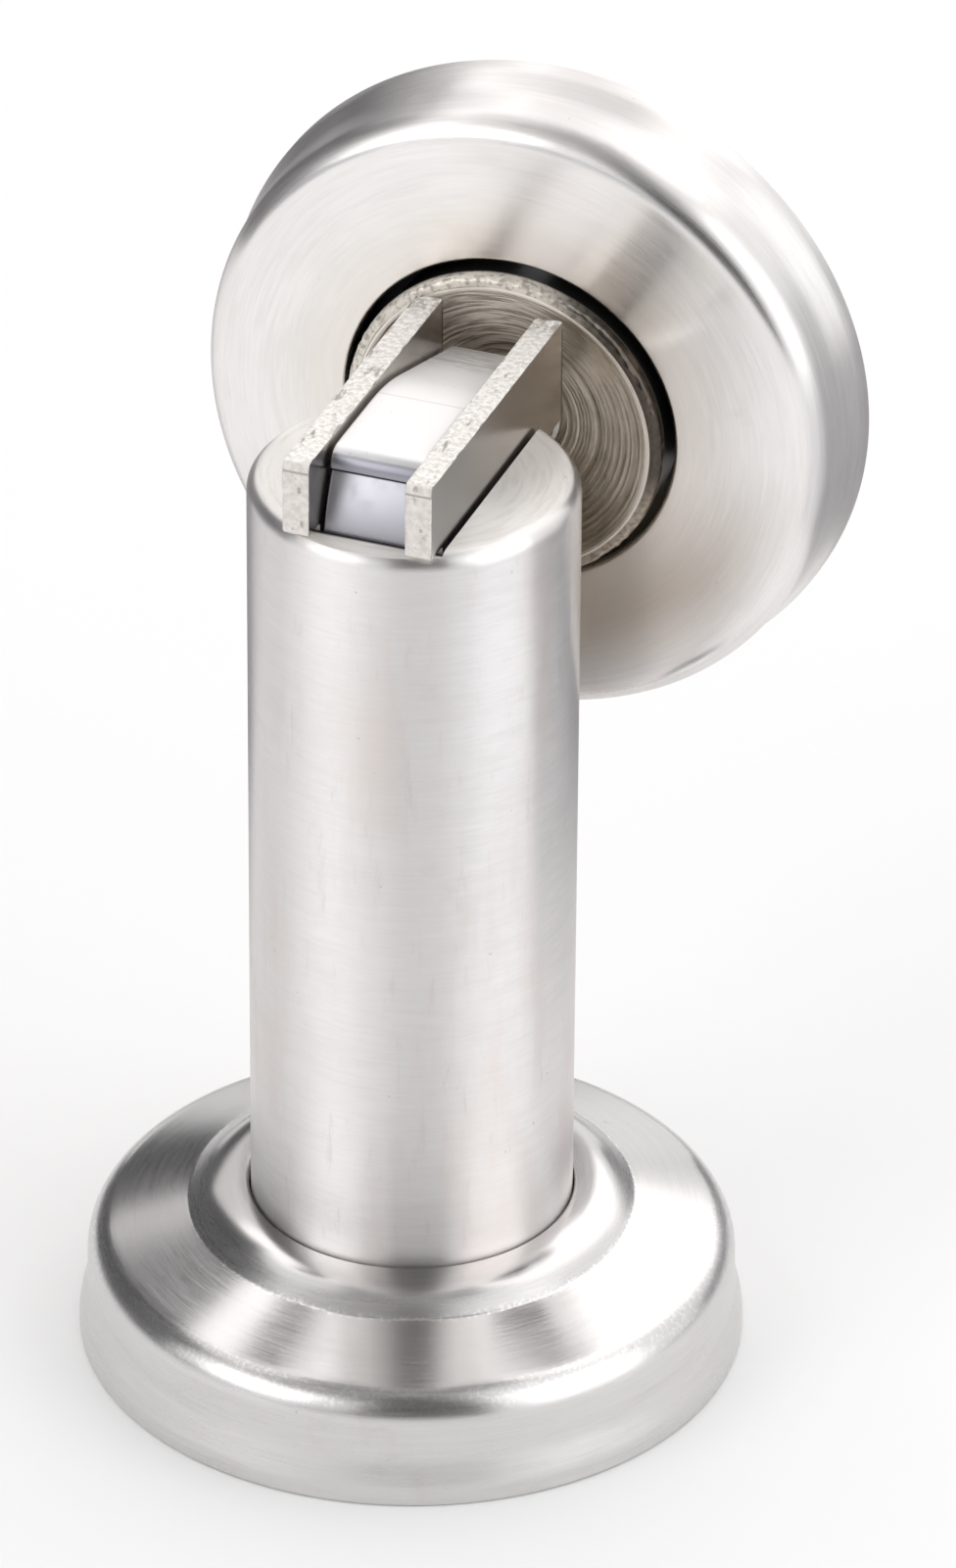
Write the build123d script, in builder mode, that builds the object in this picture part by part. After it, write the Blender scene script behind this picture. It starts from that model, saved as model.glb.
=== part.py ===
import math
import os

from build123d import *

os.makedirs("parts", exist_ok=True)

# Millimetres, +Z up along the post. The origin is the middle of the base on the floor,
# and +Y runs from the post to the catch on the door.

# Sheet of both stamped covers and of the drawn post
cover_sheet = 1.0
post_wall = 1.0

# Gaps between pieces that move on each other
slide_gap = 0.3
shaft_gap = 0.05

# Foot of both covers, flared outward below a skirt that leans in a little
rim_straight = 1.36
flare_height = 3.9
flare_foot_round = 4.0
flare_top_round = 6.0

# Post, drawn in one with its top
post_radius = 12.05
post_top = 72.75
post_rim_round = 1.2
plug_height = 14.0
plug_chamfer = 0.6

# Base cover, with a raised ring round the post
base_radius = 25.0
base_flare = 0.62
base_lean = 0.08
base_shoulder_height = 8.35
base_shoulder_round = 2.6
ring_width = 2.55
ring_slope = 2.1
crease_rise = 2.55
ring_rise = 1.6
crease_round = 6.0
ring_round = 3.5

# Fixing plate under the base cover
plate_thickness = 4.0
plate_chamfer = 0.5
floor_screw_radius = 2.3
floor_screw_head = 4.4
floor_screw_inset = 5.5
screw_count = 3
countersink = 90

# Bolt that ties the post to the fixing plate
tie_radius = 3.0
tie_head = 5.6
tie_sunk = 0.3
tie_edge = 0.4
tie_length = 14.7
tie_key = 4.0
tie_key_depth = 2.0

# Fork of two pole plates with the magnet between them
pole_thickness = 2.0
pole_inner = 3.65
pole_height = 6.0
pole_front = 11.4
pole_back = 15.35
pole_back_drop = 2.25
pole_tail = 15.75
pole_front_chamfer = 0.2
pole_front_bevel = 0.7
pole_corner = 0.3
slot_gap = 0.3
slot_under = 0.2
magnet_side_gap = 0.25
magnet_front_gap = 1.23
magnet_back_gap = 0.23
magnet_back_reach = 1.25
magnet_seat = 9.75
magnet_below_top = 0.6
magnet_nose_foot = 0.75
magnet_nose_lean = 1.7
magnet_nose_round = 16.0
magnet_lip = 0.35
magnet_lip_rise = 0.3
magnet_brow = 1.45
magnet_brow_round = 1.4
magnet_bend = 2.9
magnet_bend_round = 20.0
magnet_fall = 3.97
magnet_back_round = 0.4
holder_floor = 5.0
holder_chamfer = 0.5
pin_radius = 1.5
pin_up = 3.0
pin_spacing = 9.0
pin_end_gap = 0.28
pin_chamfer = 0.3

# Catch on the door, measured from the door's face
catch_shift = 0.9
catch_height = 68.72
catch_radius = 25.0
catch_flare = 0.7
catch_lean = 0.15
catch_depth = 8.55
catch_shoulder_round = 2.0
catch_hole_gap = 0.87
catch_plate = 2.5
catch_wall = 3.0
wall_gap = 0.1
door_screw_radius = 2.1
door_screw_head = 4.0
door_screw_inset = 4.05
boss_radius = 5.0
boss_depth = 3.6

# Turned dish that the fork holds, sprung on its screw
dish_radius = 12.0
dish_back = 4.6
dish_rim = 10.04
dish_rim_width = 1.1
dish_hollow = 22.0
dish_edge = 0.2
dish_pit_radius = 4.2
dish_web_front = 6.8
dish_web_back = 5.6
dish_recess_radius = 8.6
fork_to_rim = 0.1
screw_thread = 2.5
screw_end_gap = 0.5
screw_shoulder = 3.0
screw_head = 3.6
screw_head_height = 1.0
screw_head_chamfer = 0.3
screw_key = 3.0
screw_key_depth = 1.4
spring_wire = 0.35
spring_wide = 8.0
spring_narrow = 6.1
spring_turns = 2.5

# Sizes that follow from the ones above
base_flare_top = base_radius - base_flare
base_skirt_radius = base_flare_top - base_lean
crease_height = base_shoulder_height + crease_rise
ring_height = crease_height + ring_rise
ring_radius = post_radius + ring_width
crease_radius = ring_radius + ring_slope
plate_radius = base_skirt_radius - cover_sheet - slide_gap
floor_screw_circle = plate_radius - floor_screw_inset
tie_cone = tie_head + tie_sunk + tie_edge
bore_radius = post_radius - post_wall
pole_outer = pole_inner + pole_thickness
pole_top = post_top + pole_height
slot_half = pole_outer + slot_gap
slot_floor = post_top - slot_gap
slot_back_floor = slot_floor - pole_back_drop
slot_window = post_top - post_wall - slot_under
tail_half = math.sqrt(bore_radius**2 - pole_outer**2) - slide_gap
tail_bottom = post_top - pole_tail
bore_reach = math.sqrt(bore_radius**2 - pole_inner**2)
magnet_front = bore_reach - magnet_front_gap
magnet_back = bore_reach - magnet_back_gap
seat_height = post_top - magnet_seat
magnet_end = pole_back + magnet_back_reach
magnet_top = pole_top - magnet_below_top
brow_front = magnet_front - magnet_nose_lean + magnet_lip
brow_height = magnet_top - magnet_brow
pin_height = tail_bottom + pin_up
pin_reach = pin_spacing / 2 + pin_radius
pin_half_length = math.sqrt(bore_radius**2 - pin_reach**2) - pin_end_gap
door_face = pole_back + fork_to_rim + dish_rim
catch_flare_top = catch_radius - catch_flare
catch_skirt_radius = catch_flare_top - catch_lean
catch_hole = dish_radius + catch_hole_gap
wall_outer = catch_skirt_radius - cover_sheet - wall_gap
wall_inner = wall_outer - catch_wall
wall_top = catch_depth - cover_sheet
door_screw_circle = wall_inner - door_screw_inset
screw_top = dish_web_front + screw_head_height
catch_centre = Vector(catch_shift, door_face, catch_height)
catch_axis = Axis(catch_centre, (0, 1, 0))
catch_section = Plane(origin=catch_centre, x_dir=(1, 0, 0), z_dir=(0, 0, -1))
catch_front = Plane(origin=catch_centre, x_dir=(1, 0, 0), z_dir=(0, -1, 0))

# Base cover, a stamped sheet with a flared rim and a raised ring round the post
with BuildPart() as base_cover:
    with BuildSketch(Plane.XZ):
        with BuildLine():
            FilletPolyline(
                (base_radius, 0),
                (base_radius, rim_straight),
                (base_flare_top, flare_height),
                (base_skirt_radius, base_shoulder_height),
                (crease_radius, crease_height),
                (ring_radius, ring_height),
                (post_radius + slide_gap, ring_height),
                radius=(
                    flare_foot_round,
                    flare_top_round,
                    base_shoulder_round,
                    crease_round,
                    ring_round,
                ),
            )
            offset(amount=cover_sheet, side=Side.LEFT)
        make_face()
    revolve(axis=Axis.Z)
base_cover.part.label = "base_cover"
export_step(base_cover.part, "parts/base_cover.step")

# Fixing plate, screwed to the floor through three countersunk holes
with BuildPart() as base_plate:
    with BuildSketch():
        Circle(plate_radius)
    extrude(amount=plate_thickness)
    chamfer(base_plate.edges().group_by(Axis.Z)[-1], plate_chamfer)
    with Locations(Plane.XY.offset(plate_thickness)):
        with PolarLocations(floor_screw_circle, screw_count, start_angle=90):
            CounterSinkHole(floor_screw_radius, floor_screw_head, counter_sink_angle=countersink)
    with BuildSketch(Plane.XZ):
        with BuildLine():
            Polyline(
                (0, 0),
                (tie_cone, 0),
                (tie_radius, tie_cone - tie_radius),
                (tie_radius, plate_thickness),
                (0, plate_thickness),
                close=True,
            )
        make_face()
    revolve(axis=Axis.Z, mode=Mode.SUBTRACT)
base_plate.part.label = "base_plate"
export_step(base_plate.part, "parts/base_plate.step")

# Bolt up through the fixing plate, with a hexagon socket in its sunk head
with BuildPart() as tie_bolt:
    with BuildSketch(Plane.XZ):
        with BuildLine():
            Polyline(
                (0, tie_sunk),
                (tie_head, tie_sunk),
                (tie_head, tie_sunk + tie_edge),
                (tie_radius, tie_cone - tie_radius),
                (tie_radius, tie_sunk + tie_length),
                (0, tie_sunk + tie_length),
                close=True,
            )
        make_face()
    revolve(axis=Axis.Z)
    with BuildSketch(Plane.XY.offset(tie_sunk)):
        RegularPolygon(tie_key / 2, 6, major_radius=False)
    extrude(amount=tie_key_depth, mode=Mode.SUBTRACT)
tie_bolt.part.label = "tie_bolt"
export_step(tie_bolt.part, "parts/tie_bolt.step")

# Plug pressed into the foot of the post, tapped for the bolt
with BuildPart() as foot_plug:
    with BuildSketch(Plane.XY.offset(plate_thickness)):
        Circle(bore_radius)
        Circle(tie_radius, mode=Mode.SUBTRACT)
    extrude(amount=plug_height)
    chamfer(foot_plug.edges().group_by(Axis.Z)[-1].sort_by(SortBy.RADIUS)[-1], plug_chamfer)
foot_plug.part.label = "foot_plug"
export_step(foot_plug.part, "parts/foot_plug.step")

# Post, a drawn tube closed at the top and slotted across for the fork
with BuildPart() as post_shell:
    with BuildSketch(Plane.XZ):
        with BuildLine():
            FilletPolyline(
                (post_radius, plate_thickness),
                (post_radius, post_top),
                (0, post_top),
                radius=post_rim_round,
            )
            offset(amount=post_wall, side=Side.LEFT)
        make_face()
    revolve(axis=Axis.Z)
    with BuildSketch(Plane.YZ):
        with BuildLine():
            Polyline(
                (-2 * post_radius, slot_floor),
                (-magnet_front - slide_gap, slot_floor),
                (-magnet_front - slide_gap, slot_window),
                (0, slot_window),
                (0, slot_back_floor),
                (2 * post_radius, slot_back_floor),
                (2 * post_radius, pole_top),
                (-2 * post_radius, pole_top),
                close=True,
            )
        make_face()
    extrude(amount=slot_half, both=True, mode=Mode.SUBTRACT)
post_shell.part.label = "post_shell"
export_step(post_shell.part, "parts/post_shell.step")

# Moulded holder inside the head of the post
with BuildPart() as magnet_holder:
    with BuildSketch(Plane.XY.offset(tail_bottom - holder_floor)):
        Circle(bore_radius)
    extrude(amount=post_top - post_wall - tail_bottom + holder_floor)
    chamfer(magnet_holder.edges().group_by(Axis.Z)[-1], holder_chamfer)
    with BuildSketch(Plane.XZ):
        with Locations((0, seat_height)):
            Rectangle(2 * pole_outer, post_top, align=(Align.CENTER, Align.MIN))
        with Locations((-pole_outer, tail_bottom)):
            Rectangle(pole_thickness, post_top, align=(Align.MIN, Align.MIN))
        with Locations((pole_outer, tail_bottom)):
            Rectangle(pole_thickness, post_top, align=(Align.MAX, Align.MIN))
    extrude(amount=post_radius, both=True, mode=Mode.SUBTRACT)
    with BuildSketch(Plane.YZ):
        with Locations((-pin_spacing / 2, pin_height), (pin_spacing / 2, pin_height)):
            Circle(pin_radius)
    extrude(amount=pin_half_length, both=True, mode=Mode.SUBTRACT)
magnet_holder.part.label = "magnet_holder"
export_step(magnet_holder.part, "parts/magnet_holder.step")

# Right pole plate, sheared from thick sheet, with a tail pinned in the holder
with BuildPart() as pole_plate_right:
    with BuildSketch(Plane.YZ.offset(pole_inner)):
        with BuildLine():
            Polyline(
                (-pole_front, post_top),
                (-pole_front, pole_top - pole_front_bevel),
                (-pole_front + pole_front_chamfer, pole_top),
                (pole_back - pole_corner, pole_top),
                (pole_back, pole_top - pole_corner),
                (pole_back, post_top - pole_back_drop),
                (tail_half, post_top - pole_back_drop),
                (tail_half, tail_bottom),
                (-tail_half, tail_bottom),
                (-tail_half, post_top),
                close=True,
            )
        make_face()
        with Locations((-pin_spacing / 2, pin_height), (pin_spacing / 2, pin_height)):
            Circle(pin_radius, mode=Mode.SUBTRACT)
    extrude(amount=pole_thickness)
pole_plate_right.part.label = "pole_plate_right"
export_step(pole_plate_right.part, "parts/pole_plate_right.step")

# Left pole plate, the same plate on the other side of the magnet
with BuildPart() as pole_plate_left:
    mirror(pole_plate_right.part, about=Plane.YZ)
pole_plate_left.part.label = "pole_plate_left"
export_step(pole_plate_left.part, "parts/pole_plate_left.step")

# Pins that hold both tails in the holder
with BuildPart() as fork_pins:
    with BuildSketch(Plane.YZ):
        with Locations((-pin_spacing / 2, pin_height), (pin_spacing / 2, pin_height)):
            Circle(pin_radius)
    extrude(amount=pin_half_length, both=True)
    chamfer(fork_pins.edges().filter_by(GeomType.CIRCLE), pin_chamfer)
fork_pins.part.label = "fork_pins"
export_step(fork_pins.part, "parts/fork_pins.step")

# Plated magnet between the plates, with a leaning nose, a brow over it and a top that falls to the back
with BuildPart() as magnet:
    with BuildSketch(Plane.YZ.offset(-pole_inner + magnet_side_gap)):
        with BuildLine():
            FilletPolyline(
                (-brow_front, brow_height),
                (-brow_front, magnet_top),
                (magnet_bend, magnet_top),
                (magnet_end, magnet_top - magnet_fall),
                (magnet_end, post_top - pole_back_drop),
                radius=(magnet_brow_round, magnet_bend_round, magnet_back_round),
            )
            Polyline(
                (magnet_end, post_top - pole_back_drop),
                (magnet_back, post_top - pole_back_drop),
                (magnet_back, seat_height),
                (-magnet_front, seat_height),
                (-magnet_front, post_top - magnet_nose_foot),
            )
            RadiusArc(
                (-magnet_front, post_top - magnet_nose_foot),
                (magnet_nose_lean - magnet_front, brow_height - magnet_lip_rise),
                magnet_nose_round,
            )
            Line(
                (magnet_nose_lean - magnet_front, brow_height - magnet_lip_rise),
                (-brow_front, brow_height),
            )
        make_face()
    extrude(amount=2 * (pole_inner - magnet_side_gap))
magnet.part.label = "magnet"
export_step(magnet.part, "parts/magnet.step")

# Catch cover, stamped like the base cover, with a round window for the dish
with BuildPart() as catch_cover:
    with BuildSketch(catch_section):
        with BuildLine():
            FilletPolyline(
                (catch_radius, 0),
                (catch_radius, rim_straight),
                (catch_flare_top, flare_height),
                (catch_skirt_radius, catch_depth),
                (catch_hole, catch_depth),
                radius=(flare_foot_round, flare_top_round, catch_shoulder_round),
            )
            offset(amount=cover_sheet, side=Side.LEFT)
        make_face()
    revolve(axis=catch_axis)
catch_cover.part.label = "catch_cover"
export_step(catch_cover.part, "parts/catch_cover.step")

# Catch base, cast with a wall that carries the cover and a boss for the dish's screw
with BuildPart() as catch_base:
    with BuildSketch(catch_section):
        with BuildLine():
            Polyline(
                (screw_thread, 0),
                (wall_outer, 0),
                (wall_outer, wall_top - catch_shoulder_round),
                (wall_outer - catch_shoulder_round, wall_top),
                (wall_inner, wall_top),
                (wall_inner, catch_plate),
                (boss_radius, catch_plate),
                (boss_radius, boss_depth),
                (screw_thread, boss_depth),
                close=True,
            )
        make_face()
    revolve(axis=catch_axis)
    with Locations(catch_front.offset(catch_plate)):
        with PolarLocations(door_screw_circle, screw_count, start_angle=90):
            CounterSinkHole(door_screw_radius, door_screw_head, counter_sink_angle=countersink)
catch_base.part.label = "catch_base"
export_step(catch_base.part, "parts/catch_base.step")

# Dish, turned from bar with a hollow face and a pit for the screw's head
with BuildPart() as catch_dish:
    hollow_edge = dish_radius - dish_rim_width
    hollow_centre = dish_rim + math.sqrt(dish_hollow**2 - hollow_edge**2)
    pit_mouth = hollow_centre - math.sqrt(dish_hollow**2 - dish_pit_radius**2)
    with BuildSketch(catch_section):
        with BuildLine():
            Polyline(
                (dish_pit_radius, pit_mouth),
                (dish_pit_radius, dish_web_front),
                (screw_shoulder + shaft_gap, dish_web_front),
                (screw_shoulder + shaft_gap, dish_web_back),
                (dish_recess_radius, dish_web_back),
                (dish_recess_radius, dish_back),
                (dish_radius - dish_edge, dish_back),
                (dish_radius, dish_back + dish_edge),
                (dish_radius, dish_rim - dish_edge),
                (dish_radius - dish_edge / 2, dish_rim),
                (hollow_edge, dish_rim),
            )
            RadiusArc((hollow_edge, dish_rim), (dish_pit_radius, pit_mouth), -dish_hollow)
        make_face()
    revolve(axis=catch_axis)
catch_dish.part.label = "catch_dish"
export_step(catch_dish.part, "parts/catch_dish.step")

# Shouldered screw that the dish slides on
with BuildPart() as dish_screw:
    with BuildSketch(catch_section):
        with BuildLine():
            Polyline(
                (0, screw_end_gap),
                (screw_thread, screw_end_gap),
                (screw_thread, boss_depth),
                (screw_shoulder, boss_depth),
                (screw_shoulder, dish_web_front),
                (screw_head, dish_web_front),
                (screw_head, screw_top - screw_head_chamfer),
                (screw_head - screw_head_chamfer, screw_top),
                (0, screw_top),
                close=True,
            )
        make_face()
    revolve(axis=catch_axis)
    with BuildSketch(catch_front.offset(screw_top)):
        RegularPolygon(screw_key / 2, 6, major_radius=False)
    extrude(amount=-screw_key_depth, mode=Mode.SUBTRACT)
dish_screw.part.label = "dish_screw"
export_step(dish_screw.part, "parts/dish_screw.step")

# Cone spring between the catch base and the dish
spring_height = dish_web_back - catch_plate - 2 * spring_wire
spring_angle = math.degrees(math.atan2(spring_wide - spring_narrow, spring_height))
with BuildPart() as dish_spring:
    with BuildLine() as spring_path:
        Helix(
            pitch=spring_height / spring_turns,
            height=spring_height,
            radius=spring_narrow,
            center=catch_centre - Vector(0, dish_web_back - spring_wire, 0),
            direction=(0, 1, 0),
            cone_angle=spring_angle,
        )
    with BuildSketch(Plane(origin=spring_path.line @ 0, z_dir=spring_path.line % 0)):
        Circle(spring_wire)
    sweep()
dish_spring.part.label = "dish_spring"
export_step(dish_spring.part, "parts/dish_spring.step")
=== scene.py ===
import math

import bpy
from mathutils import Matrix, Vector, geometry, noise


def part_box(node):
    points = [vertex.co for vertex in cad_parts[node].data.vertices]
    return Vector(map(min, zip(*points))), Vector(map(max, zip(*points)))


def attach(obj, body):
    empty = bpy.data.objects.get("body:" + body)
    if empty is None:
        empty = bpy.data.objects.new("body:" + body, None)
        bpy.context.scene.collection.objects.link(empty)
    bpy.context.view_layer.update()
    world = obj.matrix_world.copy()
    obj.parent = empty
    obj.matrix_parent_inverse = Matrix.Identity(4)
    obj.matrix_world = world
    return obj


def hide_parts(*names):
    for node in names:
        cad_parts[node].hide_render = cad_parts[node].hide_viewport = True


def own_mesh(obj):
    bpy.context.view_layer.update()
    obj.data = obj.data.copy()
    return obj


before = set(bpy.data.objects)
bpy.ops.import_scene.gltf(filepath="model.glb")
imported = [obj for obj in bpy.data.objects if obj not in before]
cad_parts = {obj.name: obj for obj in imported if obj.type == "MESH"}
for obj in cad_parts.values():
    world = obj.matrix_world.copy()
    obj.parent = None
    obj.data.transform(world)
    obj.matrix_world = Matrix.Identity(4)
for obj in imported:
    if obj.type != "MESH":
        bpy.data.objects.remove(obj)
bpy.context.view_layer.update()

# Fixing plate.
# A thick pressed steel disc, zinc plated, screwed to the floor through three
# countersunk holes. The base cover hides it; only its foot shows from below.


class Shade:
    """A socket of a finish: sums on it add Math nodes, add() makes any other node."""

    def __init__(self, tree, socket=None):
        self.tree = tree
        self.socket = socket

    def add(self, kind, settings=None, sockets=None, out=0):
        node = self.tree.nodes.new(kind)
        for name, value in (settings or {}).items():
            setattr(node, name, value)
        for name, value in (sockets or {}).items():
            if isinstance(value, Shade):
                self.tree.links.new(value.socket, node.inputs[name])
            else:
                node.inputs[name].default_value = value
        return Shade(self.tree, node.outputs[out] if node.outputs else None)

    def math(self, operation, first, second=0.0):
        return self.add("ShaderNodeMath", {"operation": operation}, {0: first, 1: second})

    def __add__(self, other):
        return self.math("ADD", self, other)

    def __sub__(self, other):
        return self.math("SUBTRACT", self, other)

    def __mul__(self, other):
        return self.math("MULTIPLY", self, other)

    def __radd__(self, other):
        return self.math("ADD", other, self)

    def __rsub__(self, other):
        return self.math("SUBTRACT", other, self)

    def __rmul__(self, other):
        return self.math("MULTIPLY", other, self)

    def __abs__(self):
        return self.math("ABSOLUTE", self)

    def either(self, other):
        """The larger of the two values."""
        return self.math("MAXIMUM", self, other)

    def vector(self, operation, *others, out=0):
        values = dict(enumerate((self, *others)))
        return self.add("ShaderNodeVectorMath", {"operation": operation}, values, out)

    def along(self, way):
        """How far this place or direction goes along a way."""
        return self.vector("DOT_PRODUCT", way, out="Value")

    def band(self, low, high):
        """0 below low, 1 above high, smooth between."""
        return self.add(
            "ShaderNodeMapRange",
            {"interpolation_type": "SMOOTHSTEP"},
            {"Value": self, "From Min": low, "From Max": high},
        )

    def stripe(self, low, full, fade, high):
        """1 from full to fade, 0 below low and above high."""
        return self.band(low, full) * (1 - self.band(fade, high))

    def mix(self, first, second):
        """Colour that goes from first to second as this value goes from 0 to 1."""
        return self.add("ShaderNodeMix", {"data_type": "RGBA"}, {0: self, 6: first, 7: second}, out=2)

    def mottle(self, scale, detail, rough=0.5, twist=0.0):
        """Noise over this place."""
        return self.add(
            "ShaderNodeTexNoise", None,
            {"Vector": self, "Scale": scale, "Detail": detail, "Roughness": rough, "Distortion": twist},
        )

    def bump(self, strength, depth):
        """This height as a relief."""
        return self.add("ShaderNodeBump", None, {"Strength": strength, "Distance": depth, "Height": self})


def new_finish(name):
    """A bare material, and the place its nodes start from."""
    material = bpy.data.materials.new(name)
    material.use_nodes = True
    material.node_tree.nodes.clear()
    return material, Shade(material.node_tree)


def surface(start, sockets):
    """The finish's own shader, metal unless told otherwise: what varies is linked, the rest is set."""
    shader = start.add("ShaderNodeBsdfPrincipled", None, {"Metallic": 1.0, **sockets})
    start.add("ShaderNodeOutputMaterial", None, {"Surface": shader})


def dress(node, material):
    """Gives a solid of the model its finish."""
    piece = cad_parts[node]
    piece.data.materials.clear()
    piece.data.materials.append(material)


def zinc_plated(name, pale, dull):
    """Passivated zinc: fine spangle, bluish and yellowish clouds, handling marks."""
    material, start = new_finish(name)
    place = start.add("ShaderNodeTexCoord", out="Object")
    cloud = place.mottle(260.0, 3.0)
    spangle = start.add("ShaderNodeTexVoronoi", None, {"Vector": place, "Scale": 2600.0})
    rub = place.mottle(1900.0, 6.0)
    relief = spangle * 0.4 + rub * 0.6
    surface(
        start,
        {
            "Base Color": cloud.band(0.35, 0.65).mix(pale, dull),
            "Roughness": 0.3 + 0.14 * cloud + 0.1 * rub.band(0.5, 0.7),
            "Normal": relief.bump(0.35, 0.00002),
        },
    )
    return material


dress("base_plate", zinc_plated("plate_zinc", (0.60, 0.61, 0.62, 1), (0.50, 0.50, 0.47, 1)))

# Tie bolt.
# A countersunk steel bolt, cold headed and zinc plated, that draws the post
# down on the fixing plate from underneath.

dress("tie_bolt", zinc_plated("bolt_zinc", (0.66, 0.67, 0.69, 1), (0.52, 0.52, 0.50, 1)))

# Foot plug.
# A turned steel plug, pressed into the foot of the post and tapped for the
# bolt. It is hidden once the post is on its plate.

dress("foot_plug", zinc_plated("plug_zinc", (0.58, 0.58, 0.59, 1), (0.46, 0.46, 0.45, 1)))

# Post.
# A stainless tube, drawn in one with its top and linished as it turns, so that
# fine hairlines run round it and spread every light into upright streaks.

mm = 0.001
post_top = 72.75 * mm
slot_half = 5.9 * mm
slot_front = -10.0 * mm
post_rough = 0.37
post_stretch = 0.86

post_pale = (0.86, 0.845, 0.84, 1)
post_dull = (0.78, 0.765, 0.755, 1)
post_warm = (0.76, 0.685, 0.65, 1)
post_scuff = (0.62, 0.59, 0.57, 1)
# The top's colours are paler than the sides': painted light for the light that falls on the top, over its
# real turning rings.
top_lit_pale = (0.97, 0.945, 0.91, 1)
top_lit_dull = (0.87, 0.835, 0.79, 1)
# Painted shade for the slot's floor under the fork.
slot_shade_dark = (0.02, 0.018, 0.017, 1)
steel_stain = (0.50, 0.455, 0.42, 1)
speck_brown = (0.2, 0.18, 0.165, 1)


def upward(start):
    """1 where the surface faces up, 0 on the sides."""
    return start.add("ShaderNodeNewGeometry", out="Normal").along((0, 0, 1)).band(0.8, 0.95)


def satin(name, pale, dull, stain, rough, stretch, shine=None, tint=None):
    """Steel linished round its own z axis: hairlines, rub marks, specks, faint stains and a tint by place.

    The roughness may be a number or, like the shine and the tint, a function of the place.
    """
    material, start = new_finish(name)
    place = start.add("ShaderNodeTexCoord", out="Object")
    spoke = place.vector("MULTIPLY", (1, 1, 0))
    ray = spoke.vector("NORMALIZE")
    reach = spoke.vector("LENGTH", out="Value")
    height = place.along((0, 0, 1))
    run = reach - height

    def grain(fine, coarse, detail, offset):
        """Noise that is fine across the grain and long round it."""
        fan = ray.vector("MULTIPLY", (coarse, coarse, 0))
        step = start.add("ShaderNodeCombineXYZ", None, {"Z": run * fine + offset})
        return fan.vector("ADD", step).mottle(1.0, detail, 0.7)

    hairline = grain(9000.0, 7.0, 3.0, 3.0)
    long_line = grain(3200.0, 3.0, 3.0, 11.0)
    wide_line = grain(600.0, 1.6, 2.0, 23.0)
    cloud = place.mottle(90.0, 3.0)
    speck = place.mottle(1300.0, 2.0).band(0.75, 0.80)
    smear = place.mottle(120.0, 5.0, 0.65).band(0.6, 0.78)
    relief = hairline * 0.5 + long_line * 0.5 - speck
    tone = (hairline * 0.25 + long_line * 0.3 + wide_line * 0.2 + cloud * 0.25).band(0.36, 0.64)
    colour = (smear * 0.3).mix(tone.mix(dull, pale), stain)
    if tint:
        colour = tint(place, reach, height, colour)
    if callable(rough):
        rough = rough(place, reach, height)
    surface(
        start,
        {
            "Metallic": shine(place, reach, height) if shine else 1.0,
            "Base Color": (speck * 0.3).mix(colour, speck_brown),
            "Roughness": rough + 0.08 * (cloud - 0.5) + 0.12 * (hairline - 0.5) + 0.08 * (long_line - 0.5),
            "Anisotropic": stretch,
            "Anisotropic Rotation": 0.25,
            "Normal": relief.bump(0.25, 0.00001),
        },
    )
    return material


def ringed(place, reach, fine, drift):
    """Noise in rings round the z axis, which break up along their way."""
    fan = place.vector("MULTIPLY", (drift, drift, 0))
    step = place.add("ShaderNodeCombineXYZ", None, {"Z": reach * fine})
    return fan.vector("ADD", step).mottle(1.0, 3.0, 0.65)


def post_tint(place, reach, height, steel):
    """Wiped and scuffed sides, a ringed top painted paler for the light it catches, and painted shade on the
    slot's floor under the fork.
    """
    up = upward(place)
    beside = abs(place.along((1, 0, 0))).band(slot_half, slot_half + 0.06 * mm)
    behind = place.along((0, 1, 0)).band(slot_front, slot_front + 0.3 * mm)
    sunk = 1 - height.band(post_top - 0.25 * mm, post_top - 0.15 * mm)
    # Painted shade: the slot's floor in front of the nose is coloured near black.
    slot = up * (1 - beside) * behind * sunk
    rings = ringed(place, reach, 2600.0, 240.0).band(0.36, 0.56)
    wiped = place.vector("MULTIPLY", (150, 150, 28)).mottle(1.0, 5.0, 0.6).band(0.48, 0.70)
    scuffed = place.vector("MULTIPLY", (900, 900, 160)).mottle(1.0, 5.0, 0.7).band(0.56, 0.74)
    warmed = (wiped * 0.55).mix(steel, post_warm)
    marked = (scuffed * 0.4).mix(warmed, post_scuff)
    # Painted light: the ringed top is coloured paler than the sides.
    topped = (up * 0.85).mix(marked, rings.mix(top_lit_dull, top_lit_pale))
    return slot.mix(topped, slot_shade_dark)


def post_shine(place, reach, height):
    """Full on the side, and less on the top, which is left as brushed and scatters the light."""
    return 1 - 0.65 * upward(place)


post_satin = satin(
    "post_satin", post_pale, post_dull, steel_stain, post_rough, post_stretch,
    shine=post_shine, tint=post_tint,
)
dress("post_shell", post_satin)

# Magnet holder.
# A black nylon moulding in the head of the post. It carries the pole plates and
# the magnet, and shows only as the dark in the slot.

nylon_dark = (0.018, 0.018, 0.019, 1)
nylon_pale = (0.034, 0.033, 0.032, 1)

nylon, start = new_finish("holder_nylon")
place = start.add("ShaderNodeTexCoord", out="Object")
spark = place.mottle(5200.0, 3.0)
flow = place.mottle(180.0, 2.0)
surface(
    start,
    {
        "Base Color": flow.mix(nylon_dark, nylon_pale),
        "Metallic": 0.0,
        "Roughness": 0.46 + 0.16 * spark,
        "Normal": spark.bump(0.5, 0.00003),
    },
)
dress("magnet_holder", nylon)

# Pole plates.
# Two plates sheared from thick steel and nickel plated. They lead the magnet's
# pull to the dish; their cut edges stay rough and pale under the plating.

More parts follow.
